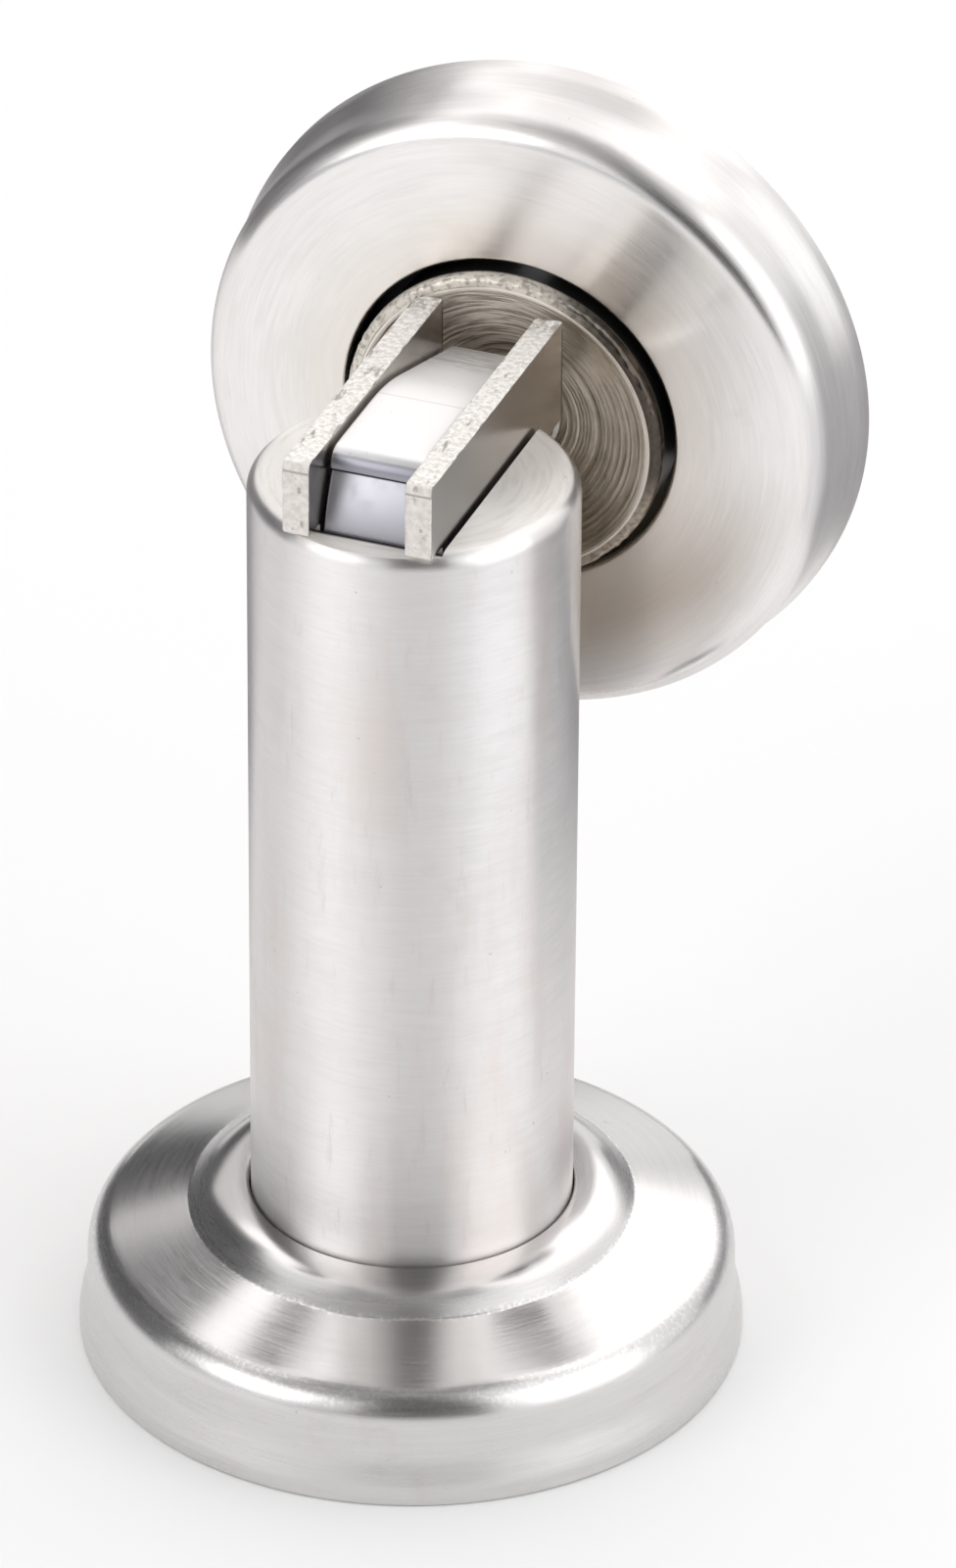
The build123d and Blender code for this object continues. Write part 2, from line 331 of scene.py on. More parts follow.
plate_thick = 2.0
plate_inner = 3.65
plate_outer = plate_inner + plate_thick
plate_front = -11.4
plate_back = 15.35
plate_top = 78.75
plate_foot = 57.0
plate_tail = 9.196
plate_rest = 72.75
plate_step = 70.5
plate_spacing = 0.25
plate_outline = [
    (plate_front, plate_rest),
    (-plate_tail, plate_rest),
    (-plate_tail, plate_foot),
    (plate_tail, plate_foot),
    (plate_tail, plate_step),
    (plate_back, plate_step),
    (plate_back, plate_top),
    (plate_front + 0.2, plate_top),
    (plate_front, plate_top - 0.7),
]
plate_rounds = [0.35, 0.2, 0.3, 0.3, 0.2, 0.35, 0.4, 0.3, 0.3]
plate_edge = [
    (0.0, 0.12), (0.02, 0.045), (0.06, 0.01), (0.14, 0.0), (0.4, 0.0),
    (0.6, 0.0), (0.86, 0.0), (0.94, 0.01), (0.98, 0.045), (1.0, 0.12),
]
lip_line = plate_top - 0.84
tear_start = 11.2
tear_run = 2.0
tear_depth = 0.4
edge_wander = 0.03

side_pale = (0.60, 0.57, 0.54, 1)
side_dull = (0.50, 0.47, 0.44, 1)
# Painted light and shade on the right plate's outside: pale at the back, dark at the front.
outside_lit_pale = (0.70, 0.645, 0.595, 1)
outside_shade_dark = (0.25, 0.245, 0.24, 1)
cut_pale = (0.98, 0.955, 0.92, 1)
cut_dull = (0.70, 0.66, 0.61, 1)
end_pale = (0.76, 0.725, 0.69, 1)
end_dull = (0.60, 0.565, 0.53, 1)
lip_brown = (0.30, 0.265, 0.235, 1)
# Painted shadow at the plate's back end.
rear_shadow_dark = (0.08, 0.07, 0.06, 1)
pit_brown = (0.28, 0.25, 0.22, 1)


def sheared(name):
    """Plated plate: smooth rolled sides, the right plate's outside painted darker towards the front as
    painted shade, a painted shadow line at its back end, and torn and pitted edges.
    """
    material, start = new_finish(name)
    place = start.add("ShaderNodeTexCoord", out="Object")
    normal = start.add("ShaderNodeNewGeometry", out="Normal")
    across = place.along((1, 0, 0))
    along = place.along((0, 1, 0))
    level = place.along((0, 0, 1))
    edge = 1 - abs(normal.along((1, 0, 0))).band(0.55, 0.9)
    front = (0 - normal.along((0, 1, 0))).band(0.5, 0.9)
    tear = place.mottle(1500.0, 6.0, 0.7)
    burr = place.mottle(2400.0, 5.0, 0.65)
    rolled = place.mottle(420.0, 4.0)
    pit = place.vector("MULTIPLY", (1500, 450, 900)).mottle(1.0, 4.0, 0.6)
    ragged = along.band(11.8 * mm, 13.6 * mm) * edge * tear.band(0.47, 0.56) * 0.8
    pitted = (edge * pit.band(0.58, 0.68)).either(ragged)

    outside = across.band((plate_outer - 0.65) * mm, (plate_outer - 0.15) * mm)
    # Painted shade: the right plate's outside is coloured darker towards the front.
    outside_shade = along.band(-10.0 * mm, 11.0 * mm).mix(outside_shade_dark, outside_lit_pale)
    plain = rolled.band(0.35, 0.68).mix(side_dull, side_pale)
    sides = (outside * (0.75 + 0.25 * rolled)).mix(plain, outside_shade)
    cut = edge.mix(sides, burr.band(0.36, 0.62).mix(cut_dull, cut_pale))
    ended = front.mix(cut, tear.band(0.35, 0.65).mix(end_dull, end_pale))

    lip_limits = [(lip_line + step) * mm for step in (-0.13, -0.05, 0.05, 0.15)]
    lip = front * level.stripe(*lip_limits) * 0.7
    # A painted shadow: a dark line at the plate's back end, where it meets the dish.
    rear_shadow = along.band(14.9 * mm, 15.0 * mm) * (1 - edge) * (1 - level.band(77.9 * mm, 78.2 * mm)) * 0.85
    lined = lip.either(rear_shadow).mix(ended, rear_shadow.mix(lip_brown, rear_shadow_dark))
    relief = tear * (0.03 + edge * 0.6) - pitted * 0.9
    surface(
        start,
        {
            "Base Color": (pitted * 0.75).mix(lined, pit_brown),
            "Roughness": 0.22 + edge * 0.28 + 0.2 * edge * (tear - 0.5),
            "Metallic": 1 - 0.9 * edge,
            "Normal": relief.bump(0.6, 0.00005),
        },
    )
    return material


def rounded(corners, radii, steps=6):
    """The closed line through the corners with each one rounded to its radius."""
    line = []
    for i, corner in enumerate(corners):
        here = Vector(corner)
        if radii[i] == 0:
            line.append(here)
            continue
        before = (Vector(corners[i - 1]) - here).normalized()
        after = (Vector(corners[(i + 1) % len(corners)]) - here).normalized()
        half = before.angle(after) / 2
        middle = here + (before + after).normalized() * (radii[i] / math.sin(half))
        first = here + before * (radii[i] / math.tan(half)) - middle
        last = here + after * (radii[i] / math.tan(half)) - middle
        sweep = first.angle(last)
        for k in range(steps + 1):
            share = k / steps
            spot = first * math.sin(sweep * (1 - share)) + last * math.sin(sweep * share)
            line.append(middle + spot / math.sin(sweep))
    return line


def even(line, spacing):
    """The same closed line with points no further apart than the spacing."""
    spread = []
    for here, there in zip(line, line[1:] + line[:1]):
        parts = max(1, math.ceil((there - here).length / spacing))
        spread += [here.lerp(there, k / parts) for k in range(parts)]
    return spread


def slab(outline, near, far, edge, wear=None):
    """A plate over an outline in y and z, from near to far in x, with its edge's own section and wear."""
    count = len(outline)
    outward = []
    for i in range(count):
        way = outline[(i + 1) % count] - outline[i - 1]
        outward.append(Vector((way.y, -way.x)).normalized())
    points, faces = [], []
    for j, (share, inset) in enumerate(edge):
        x = near + (far - near) * share
        for i, here in enumerate(outline):
            worn = wear(here, x) if wear and 0 < j < len(edge) - 1 else 0.0
            spot = here - outward[i] * (inset + worn)
            points.append((x, spot.x, spot.y))
            if j:
                last, low = (i + 1) % count, (j - 1) * count
                faces.append((low + i, low + last, low + count + last, low + count + i))
    faces.append(tuple(range(count - 1, -1, -1)))
    faces.append(tuple(range((len(edge) - 1) * count, len(edge) * count)))
    return points, faces


def torn(spot, x):
    """How far the shear has pulled the edge in, most at the back end of the top."""
    wander = noise.noise(Vector((spot.x * 1.7, spot.y * 1.7, x)))
    chip = noise.noise(Vector((spot.x * 1.3 + 7, spot.y, x * 0.8)))
    on_top = spot.y > plate_top - 0.5
    far_end = max(0.0, min(1.0, (spot.x - tear_start) / tear_run)) if on_top else 0.0
    return edge_wander * (1 + wander) + tear_depth * far_end * max(0.0, chip)


def fit_piece(name, form, material, body, stands_for, sharp=35, place=None):
    """Makes a form, in millimetres, a piece that rides on a body and stands for its solid."""
    points, faces = form
    mesh = bpy.data.meshes.new(name)
    mesh.from_pydata([Vector(point) * mm for point in points], [], faces)
    mesh.validate()
    mesh.shade_smooth()
    mesh.set_sharp_from_angle(angle=math.radians(sharp))
    mesh.materials.append(material)
    piece = bpy.data.objects.new(name, mesh)
    bpy.context.scene.collection.objects.link(piece)
    if place:
        piece.matrix_world = place
    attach(piece, body)
    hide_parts(stands_for)
    return piece


plate_line = even(rounded(plate_outline, plate_rounds), plate_spacing)
plate_nickel = sheared("plate_nickel")
for hand, way in (("right", 1), ("left", -1)):
    points, faces = slab(plate_line, way * plate_inner, way * plate_outer, plate_edge, torn)
    if way < 0:
        faces = [face[::-1] for face in faces]
    fit_piece(
        "sheared_plate_" + hand, (points, faces), plate_nickel,
        "stand", "pole_plate_" + hand, sharp=25,
    )

# Fork pins.
# Two ground steel pins through the holder and both plates' tails. They hold the
# fork in the post and are hidden inside it.

dress("fork_pins", zinc_plated("pin_zinc", (0.68, 0.68, 0.69, 1), (0.56, 0.56, 0.55, 1)))

# Magnet.
# A block magnet with a crowned top and a leaning nose under a brow, ground
# smooth, plated with bright nickel and clipped between the plates.

magnet_half = 3.4
magnet_front = -9.2
magnet_foot = 63.0
magnet_tail = 10.2
magnet_step = 70.5
magnet_back = 16.6
magnet_back_top = 74.18
magnet_top = 78.15
magnet_spacing = 0.4
crown_back = 2.9
brow_front = -7.85
brow_foot = 76.7
groove_back = (-7.2, 76.52)
nose_foot = Vector((magnet_front, 72.0))
nose_top = Vector((-7.5, 76.4))
nose_round = 16.0
nose_parts = 12
nose_way = nose_foot - nose_top
nose_out = Vector((nose_way.y, -nose_way.x)).normalized()
nose_line = []
for k in range(1, nose_parts + 1):
    share = k / nose_parts
    from_middle = nose_way.length * (share - 0.5)
    bow = math.sqrt(nose_round**2 - from_middle**2)
    swell = bow - math.sqrt(nose_round**2 - (nose_way.length / 2) ** 2)
    nose_line.append(nose_top + nose_way * share + nose_out * swell)
magnet_corners = [
    (magnet_front, magnet_foot),
    (magnet_tail, magnet_foot),
    (magnet_tail, magnet_step),
    (magnet_back, magnet_step),
    (magnet_back, magnet_back_top),
    (crown_back, magnet_top),
    (brow_front, magnet_top),
    (brow_front, brow_foot),
    groove_back,
    nose_top,
    *nose_line,
]
magnet_rounds = [0.4, 0.4, 0.2, 0.3, 0.4, 20.0, 1.35, 0.06, 0.05, 0.06] + [0.0] * len(nose_line)
magnet_edge = [
    (0.0, 0.14), (0.006, 0.06), (0.015, 0.015), (0.03, 0.0), (0.5, 0.0),
    (0.97, 0.0), (0.985, 0.015), (0.994, 0.06), (1.0, 0.14),
]

# Painted shade on the nose, darker towards its foot.
nose_shade_low = (0.50, 0.50, 0.545, 1)
nose_shade_high = (0.57, 0.57, 0.62, 1)
# Painted shade on the lower part of the brow.
brow_shade_dark = (0.36, 0.36, 0.41, 1)
brow_pale = (0.95, 0.945, 0.95, 1)
# Near white for the frosted crown, partly painted light.
crown_lit_pale = (0.985, 0.965, 0.955, 1)
nickel_worn = (0.33, 0.32, 0.32, 1)
# Painted shade in the groove under the brow.
groove_shade_dark = (0.10, 0.10, 0.115, 1)

bright, start = new_finish("magnet_bright")
place = start.add("ShaderNodeTexCoord", out="Object")
rise = place.along((0, 0, 1))
along = place.along((0, 1, 0))
ripple = place.mottle(330.0, 2.0)
fleck = place.mottle(2600.0, 2.0).band(0.7, 0.78)
scuff = place.mottle(900.0, 5.0).band(0.5, 0.75)
scratch = place.vector("MULTIPLY", (420, 2600, 2600)).mottle(1.0, 4.0, twist=1.5).band(0.45, 0.62)
# Painted shade: the groove under the brow is coloured near black.
groove = rise.stripe(76.32 * mm, 76.40 * mm, 76.64 * mm, 76.72 * mm) * (1 - along.band(-6.9 * mm, -6.6 * mm))
seam = along.stripe(1.2 * mm, 1.3 * mm, 1.4 * mm, 1.5 * mm) * 0.25
lap = along.stripe(11.95 * mm, 12.1 * mm, 12.2 * mm, 12.35 * mm) * 0.6
scraped = along.band(8.5 * mm, 12.4 * mm) * scratch * 0.4
# The crown is frosted, so less metallic, and it is also painted near white for the light that falls on it.
frosted_and_lit = along.band(-7.2 * mm, -5.5 * mm)
# Painted shade: the nose is coloured darker towards its foot.
nose = rise.band(72.6 * mm, 76.4 * mm).mix(nose_shade_low, nose_shade_high)
# Painted shade: the lower part of the brow is coloured dark.
brow = rise.band(77.65 * mm, 77.85 * mm).mix(brow_shade_dark, brow_pale)
tone = frosted_and_lit.mix(rise.band(76.4 * mm, 76.6 * mm).mix(nose, brow), crown_lit_pale)
worn = seam.either(lap).either(scraped.either(fleck * 0.4))
relief = ripple * 0.7 - fleck * 0.6
surface(
    start,
    {
        "Base Color": (groove * 0.85).mix(worn.mix(tone, nickel_worn), groove_shade_dark),
        "Roughness": 0.36 + 0.08 * scuff,
        "Metallic": 0.9 - 0.85 * frosted_and_lit,
        "Normal": relief.bump(0.2, 0.00002),
    },
)
magnet_line = even(rounded(magnet_corners, magnet_rounds, steps=20), magnet_spacing)
magnet_form = slab(magnet_line, -magnet_half, magnet_half, magnet_edge)
fit_piece("plated_magnet", magnet_form, bright, "stand", "magnet", sharp=50)

# Base cover.
# A stamped stainless cap that drops over the post and hides the fixing plate,
# with a flared rim and a raised ring round the post, linished like the post.

cap_sheet = 1.0
cap_spacing = 0.6
rim_round = 0.2
lip_round = 0.3
burr_round = 0.12
least_round = 0.15
flare_height = 1.36
skirt_height = 3.9
base_reach = 25.0
base_high = 12.5
base_hole = 12.16
shoulder_height = 8.35
ring_foot = 16.7
ring_foot_height = 10.9
ring_top = 14.6
base_corners = [
    (base_reach, 0.0),
    (base_reach, flare_height),
    (24.38, skirt_height),
    (24.3, shoulder_height),
    (ring_foot, ring_foot_height),
    (ring_top, base_high),
    (base_hole, base_high),
]
base_rounds = [4.0, 6.0, 2.6, 1.0, 5.4]
base_stretch = 0.5

base_pale = (0.72, 0.71, 0.705, 1)
base_dull = (0.65, 0.64, 0.63, 1)
scratch_pale = (0.93, 0.925, 0.92, 1)


def inset(corners, depth):
    """The same line moved to its left by a depth."""
    shifted = []
    for here, there in zip(corners, corners[1:]):
        way = (Vector(there) - Vector(here)).normalized()
        step = Vector((-way.y, way.x)) * depth
        shifted.append((Vector(here) + step, Vector(there) + step))
    line = [shifted[0][0]]
    for (a, b), (c, d) in zip(shifted, shifted[1:]):
        line.append(geometry.intersect_line_line_2d(a, a + (b - a) * 99, c - (d - c) * 99, d) or b)
    return line + [shifted[-1][1]]


def turned_form(line, segments=256, wear=None):
    """A closed outline of radius and height, swept round the z axis, with its wear."""
    count = len(line)
    points, faces = [], []
    for i in range(segments):
        turn = 2 * math.pi * i / segments
        low, high = i * count, (i + 1) % segments * count
        for j, spot in enumerate(line):
            spot = spot + wear(spot, turn) if wear else spot
            points.append((spot.x * math.cos(turn), spot.x * math.sin(turn), spot.y))
            after = (j + 1) % count
            faces.append((low + j, high + j, high + after, low + after))
    return points, faces


def stamped_cap(corners, radii):
    """A cap of sheet, turned from its outer corners and their rounds, with eased edges at rim and hole."""
    inner = inset(corners, cap_sheet)
    within = []
    for i in range(1, len(corners) - 1):
        before = Vector(corners[i]) - Vector(corners[i - 1])
        after = Vector(corners[i + 1]) - Vector(corners[i])
        convex = before.cross(after) > 0
        within.append(max(least_round, radii[i - 1] - cap_sheet if convex else radii[i - 1] + cap_sheet))
    loop = [*corners, *[tuple(spot) for spot in reversed(inner)]]
    rounds = [rim_round, *radii, lip_round, burr_round, *reversed(within), rim_round]
    return turned_form(even(rounded(loop, rounds, steps=10), cap_spacing))


def base_tint(place, reach, height, steel):
    """Fine pale scratches along the shoulder and in the crease at the ring's foot."""
    pepper = place.mottle(3200.0, 4.0).band(0.48, 0.62)
    crease_limits = [(ring_foot + step) * mm for step in (-0.4, -0.1, 0.1, 0.4)]
    creased = reach.stripe(*crease_limits)
    shoulder = reach.band(22.0 * mm, 23.2 * mm) * height.band(7.2 * mm, 8.0 * mm) * 0.6
    marks = creased.either(shoulder) * pepper
    return (marks * 0.7).mix(steel, scratch_pale)


def base_rough(place, reach, height):
    """Smoother on the crown, where the polishing wheel reaches, than on the skirt."""
    return 0.29 - 0.10 * upward(place)


base_satin = satin(
    "base_satin", base_pale, base_dull, steel_stain, base_rough, base_stretch, tint=base_tint
)
base_form = stamped_cap(base_corners, base_rounds)
fit_piece("base_cap", base_form, base_satin, "cover", "base_cover", sharp=60)

# Catch base.
# A zinc casting screwed to the door. Its wall carries the cover and its boss
# takes the dish's screw; it shows at the back, and as the dark round the dish,
# where its well is painted with shade.

casting_low, casting_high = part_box("catch_base")
casting_middle = (casting_low + casting_high) / 2

cast_dull = (0.42, 0.42, 0.43, 1)
cast_pale = (0.56, 0.56, 0.57, 1)
# Painted shade colours for the gap round the dish.
gap_brown = (0.30, 0.26, 0.21, 1)
gap_shade_black = (0.015, 0.014, 0.013, 1)


def gap_shade_colour(rise):
    """Painted shade for the gap round the dish: black in its upper part and brown in the lower."""
    return rise.band(-5.0 * mm, 1.0 * mm).mix(gap_brown, gap_shade_black)


cast, start = new_finish("base_cast")
place = start.add("ShaderNodeTexCoord", out="Object")
skin = place.mottle(1100.0, 7.0, 0.7)
swirl = place.mottle(300.0, 4.0)
spread = place.vector("SUBTRACT", tuple(casting_middle))
from_middle = spread.vector("MULTIPLY", (1, 0, 1)).vector("LENGTH", out="Value")
facing = start.add("ShaderNodeCombineXYZ", None, {"X": from_middle * 2600.0}).mottle(1.0, 3.0)
# The casting's well, seen through the gap, is coloured with the gap's painted shade.
well = 1 - place.along((0, 1, 0)).band(casting_high.y - 2.4 * mm, casting_high.y - 2.2 * mm)
grain = (facing * 0.5 + swirl * 0.25 + skin * 0.25).band(0.36, 0.64)
relief = skin * 0.5 + facing * 0.5
surface(
    start,
    {
        "Base Color": well.mix(grain.mix(cast_dull, cast_pale), gap_shade_colour(spread.along((0, 0, 1)))),
        "Metallic": 1 - 0.8 * well,
        "Roughness": 0.38 + 0.14 * skin + 0.1 * facing,
        "Normal": relief.bump(0.5, 0.00004),
    },
)
dress("catch_base", cast)

# Dish spring.
# A cone spring coiled from plated wire, behind the dish. It lets the dish give
# when the door swings onto the fork, and closes up as the dish goes in.

catch_low, catch_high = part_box("catch_cover")
door_spot = Vector(((catch_low.x + catch_high.x) / 2, catch_high.y, (catch_low.z + catch_high.z) / 2))
on_door = Matrix.Translation(door_spot) @ Matrix.Rotation(math.radians(90), 4, "X")

spring_wire = 0.35
spring_turns = 2.5
spring_foot = 2.53
spring_head = 5.57
spring_wide = 8.0
spring_narrow = 6.1


def coil(steps=120, sides=12):
    """Round wire wound into a cone, from its narrow head to its wide foot, with closed ends."""
    points, faces = [], []
    for i in range(steps + 1):
        share = i / steps
        turn = 2 * math.pi * spring_turns * share
        outward = Vector((math.cos(turn), math.sin(turn), 0))
        height = spring_head - spring_wire + (spring_foot - spring_head + 2 * spring_wire) * share
        middle = outward * (spring_narrow + (spring_wide - spring_narrow) * share) + Vector((0, 0, height))
        for j in range(sides):
            lean = 2 * math.pi * j / sides
            points.append(middle + (outward * math.cos(lean) + Vector((0, 0, math.sin(lean)))) * spring_wire)
            if i:
                low, last = (i - 1) * sides, (j + 1) % sides
                faces.append((low + j, low + sides + j, low + sides + last, low + last))
    faces.append(tuple(range(sides)))
    faces.append(tuple(range((steps + 1) * sides - 1, steps * sides - 1, -1)))
    return points, faces


spring_zinc = zinc_plated("spring_zinc", (0.62, 0.62, 0.63, 1), (0.48, 0.48, 0.47, 1))
spring = fit_piece("cone_spring", coil(), spring_zinc, "catch", "dish_spring", place=on_door)
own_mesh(spring)

# Dish.
# A dish turned from steel bar and nickel plated, which the fork pulls to. The
# tool has left rings on its hollow face and a bright land round its rim.

dish_rim = 10.04
dish_wide = 12.25
dish_flank = 12.0
flank_top = 8.4
rim_foot = 8.9
dish_back = 4.6
dish_bore = 3.05
dish_spacing = 0.3
seat_reach = 8.6
seat_height = 5.6
web_front = 6.76
pit_radius = 4.2
hollow_edge = 11.3
hollow_radius = 23.5
hollow_centre = dish_rim + math.sqrt(hollow_radius**2 - hollow_edge**2)
hollow_steps = 150
groove_depth = 0.035
groove_fade = 0.3
hollow_line = []
for k in range(hollow_steps + 1):
    reach = hollow_edge + (pit_radius - hollow_edge) * k / hollow_steps
    fade = min(1.0, (hollow_edge - reach) / groove_fade)
    chatter = noise.noise(Vector((reach * 2.3, 0.4, 0))) + 0.6 * noise.noise(Vector((reach * 5.1, 8.4, 0)))
    groove = groove_depth * fade * max(0.0, min(1.0, 0.5 + 0.8 * chatter))
    hollow_line.append(Vector((reach, hollow_centre - math.sqrt(hollow_radius**2 - reach**2) - groove)))
dish_corners = [
    tuple(hollow_line[-1]),
    (pit_radius, web_front),
    (dish_bore, web_front),
    (dish_bore, seat_height),
    (seat_reach, seat_height),
    (seat_reach, dish_back),
    (dish_flank, dish_back),
    (dish_flank, flank_top),
    (dish_wide, rim_foot),
    (dish_wide, dish_rim),
    (hollow_edge + 0.3, dish_rim),
    (hollow_edge + 0.02, dish_rim),
]
dish_rounds = [0.1, 0.2, 0.15, 0.15, 0.2, 0.15, 0.25, 0.3, 0.3, 0.4, 0.0, 0.5]
dent_from_reach = 11.8
dent_from_height = 9.25
dent_pull = Vector((-0.12, -0.08))
dents_round = 26
dish_rough = 0.30
dish_stretch = 0.6

dish_pale = (0.68, 0.61, 0.52, 1)
dish_dull = (0.36, 0.305, 0.24, 1)
dish_stain = (0.20, 0.165, 0.125, 1)
ring_pale_low = (0.55, 0.49, 0.42, 1)
ring_pale_high = (0.90, 0.84, 0.76, 1)
ring_dark_low = (0.14, 0.115, 0.09, 1)
ring_dark_high = (0.30, 0.26, 0.21, 1)
land_pale = (0.72, 0.68, 0.61, 1)
land_dirty = (0.09, 0.075, 0.062, 1)
land_low = (0.40, 0.34, 0.28, 1)
pepper_dark = (0.12, 0.10, 0.085, 1)
# Painted highlight on the rim's inner edge.
edge_painted_highlight = (0.95, 0.91, 0.85, 1)


def burred(spot, turn):
    """How far the rim's outer edge is dented at a turn of the dish."""
    if spot.x < dent_from_reach or spot.y < dent_from_height:
        return Vector((0, 0))
    dent = noise.noise(Vector((math.cos(turn) * dents_round, math.sin(turn) * dents_round, spot.x * 3)))
    return dent_pull * max(0.0, dent + 0.2)


def flank_of(reach, height):
    """1 on the dish's side below its rim."""
    return reach.band(11.85 * mm, 11.90 * mm) * (1 - height.band(8.8 * mm, 9.2 * mm))


def between_plates(place):
    """1 in the upper part of the dish between the plates, the part that is painted brighter."""
    high = place.along((0, 1, 0)).band(2.0 * mm, 6.0 * mm)
    return high * (1 - place.along((1, 0, 0)).band(3.0 * mm, 6.0 * mm))


def dish_tint(place, reach, height, steel):
    """Turning rings between the plates, painted brighter and paler towards the top, a land that is pale
    above and dirty at the right, a painted highlight on its inner edge, and painted shade on the flank.
    """
    rise = place.along((0, 1, 0))
    # Painted light: the rings between the plates are coloured brighter, paler towards the top and darker
    # below.
    high = rise.band(5.5 * mm, 9.5 * mm)
    rings = ringed(place, reach, 5200.0, 260.0).band(0.38, 0.60)
    ring_pale = high.mix(ring_pale_low, ring_pale_high)
    ring_dark = high.mix(ring_dark_low, ring_dark_high)
    rings_painted_bright = between_plates(place).mix(steel, rings.mix(ring_dark, ring_pale))
    soiled = place.along((1, 0, 0)).band(1.0 * mm, 9.5 * mm).mix(land_pale, land_dirty)
    lowered = rise.band(-6.0 * mm, -1.0 * mm).mix(land_low, soiled)
    pepper = place.mottle(2300.0, 4.0).band(0.46, 0.62)
    peppered = (pepper * 0.5).mix(lowered, pepper_dark)
    land = reach.band(11.48 * mm, 11.54 * mm) * height.band(8.8 * mm, 9.2 * mm)
    # A painted highlight: a bright line on the rim's inner edge.
    edge = reach.stripe(11.12 * mm, 11.18 * mm, 11.42 * mm, 11.48 * mm)
    rimmed = edge.mix(land.mix(rings_painted_bright, peppered), edge_painted_highlight)
    # The dish's flank, down in the gap, is coloured with the gap's painted shade.
    return flank_of(reach, height).mix(rimmed, gap_shade_colour(rise))


def dish_shine(place, reach, height):
    """Less between the plates, where the rings are painted brighter, and on the flank, which is painted with
    shade.
    """
    return 1 - (between_plates(place) * 0.65).either(flank_of(reach, height) * 0.8)


dish_turned = satin(
    "dish_turned", dish_pale, dish_dull, dish_stain, dish_rough, dish_stretch,
    shine=dish_shine, tint=dish_tint,
)
dish_loop = rounded(dish_corners, dish_rounds, steps=5)[:-1] + hollow_line
dish_form = turned_form(even(dish_loop, dish_spacing), 320, burred)
fit_piece(
    "turned_dish", dish_form, dish_turned, "dish", "catch_dish", sharp=40, place=on_door
)

# Dish screw.
# A shouldered steel screw with a hexagon socket, which holds the dish in the
# catch and lets it slide.

dress("dish_screw", zinc_plated("screw_zinc", (0.55, 0.54, 0.52, 1), (0.40, 0.39, 0.37, 1)))

# Catch cover.
# A stamped stainless cap like the base's, pressed over the catch's casting, with
# a window for the dish and hairlines that run round it.

catch_reach = 25.0
catch_face = 8.55
catch_window = 12.87
catch_corners = [
    (catch_reach, 0.0),
    (catch_reach, flare_height),
    (24.3, skirt_height),
    (24.15, catch_face),
    (catch_window, catch_face),
]
catch_rounds = [4.0, 6.0, 2.0]
catch_stretch = 0.8

catch_pale = (0.90, 0.885, 0.875, 1)
catch_dull = (0.77, 0.75, 0.735, 1)
catch_stain = (0.56, 0.51, 0.46, 1)
catch_yellow = (0.80, 0.72, 0.62, 1)
# Painted reflection colour for the face below the window.
catch_reflection_brown = (0.42, 0.35, 0.28, 1)


def face_of(height):
    """1 on the flat face, 0 on the skirt."""
    return height.band(8.0 * mm, 8.5 * mm)


def window_cut(reach, height):
    """1 on the window's cut edge."""
    return (1 - reach.band(12.88 * mm, 12.92 * mm)) * (1 - height.band(8.1 * mm, 8.3 * mm))


def catch_shine(place, reach, height):
    """Dull on the window's cut edge, which is painted with shade."""
    return 1 - 0.9 * window_cut(reach, height)


def catch_tint(place, reach, height, steel):
    """The window's cut edge below its rounded lip, painted with shade, a warm tint on the face round it, and
    a painted brown reflection below the window.
    """
    face = face_of(height)
    fall = 0 - place.along((-0.35, 0.94, 0))
    yellow = face * (1 - reach.band(13.0 * mm, 20.0 * mm)) * 0.4
    # A painted reflection: a brown patch on the face below the window, for the shaded parts it mirrors.
    brown = fall.band(6.0 * mm, 17.0 * mm) * (1 - reach.band(17.0 * mm, 24.0 * mm)) * face * 0.75
    warmed = brown.mix(yellow.mix(steel, catch_yellow), catch_reflection_brown)
    # Painted shade: the window's cut edge takes the gap's shade colours.
    return window_cut(reach, height).mix(warmed, gap_shade_colour(place.along((0, 1, 0))))


def catch_rough(place, reach, height):
    """Finer on the flat face than round the skirt."""
    return 0.36 - 0.14 * face_of(height)


catch_satin = satin(
    "catch_satin", catch_pale, catch_dull, catch_stain, catch_rough, catch_stretch,
    shine=catch_shine, tint=catch_tint,
)
catch_form = stamped_cap(catch_corners, catch_rounds)
fit_piece(
    "catch_cap", catch_form, catch_satin, "catch", "catch_cover", sharp=60, place=on_door
)

# Studio.
# A white floor in a light tent: two tall soft boxes in front, one behind and
# above, and grey cards and mats that give the metal its darker bands.

view_turn = math.radians(20.575)
view_rise = math.radians(31.262)
view_roll = math.radians(0.434)
view_distance = 0.713489
view_focal = 9970.8 / 1600
side_shift = 0.004737
aim_height = 0.046849

side = Vector((math.cos(view_turn), math.sin(view_turn), 0))
out = Vector((math.sin(view_turn), -math.cos(view_turn), 0))
back = out * math.cos(view_rise) + Vector((0, 0, math.sin(view_rise)))
up = back.cross(side)
across = side * math.cos(view_roll) + up * math.sin(view_roll)
upright = up * math.cos(view_roll) - side * math.sin(view_roll)
aim = side * side_shift + Vector((0, 0, aim_height))

lens = bpy.data.cameras.new("view")
lens.sensor_width = 36.0
lens.lens = view_focal * lens.sensor_width
lens.clip_start = 0.01
lens.clip_end = 50.0
camera = bpy.data.objects.new("view", lens)
camera_turn = Matrix((across, upright, back)).transposed().to_4x4()
camera.matrix_world = Matrix.Translation(aim + back * view_distance) @ camera_turn
bpy.context.scene.collection.objects.link(camera)
bpy.context.scene.camera = camera


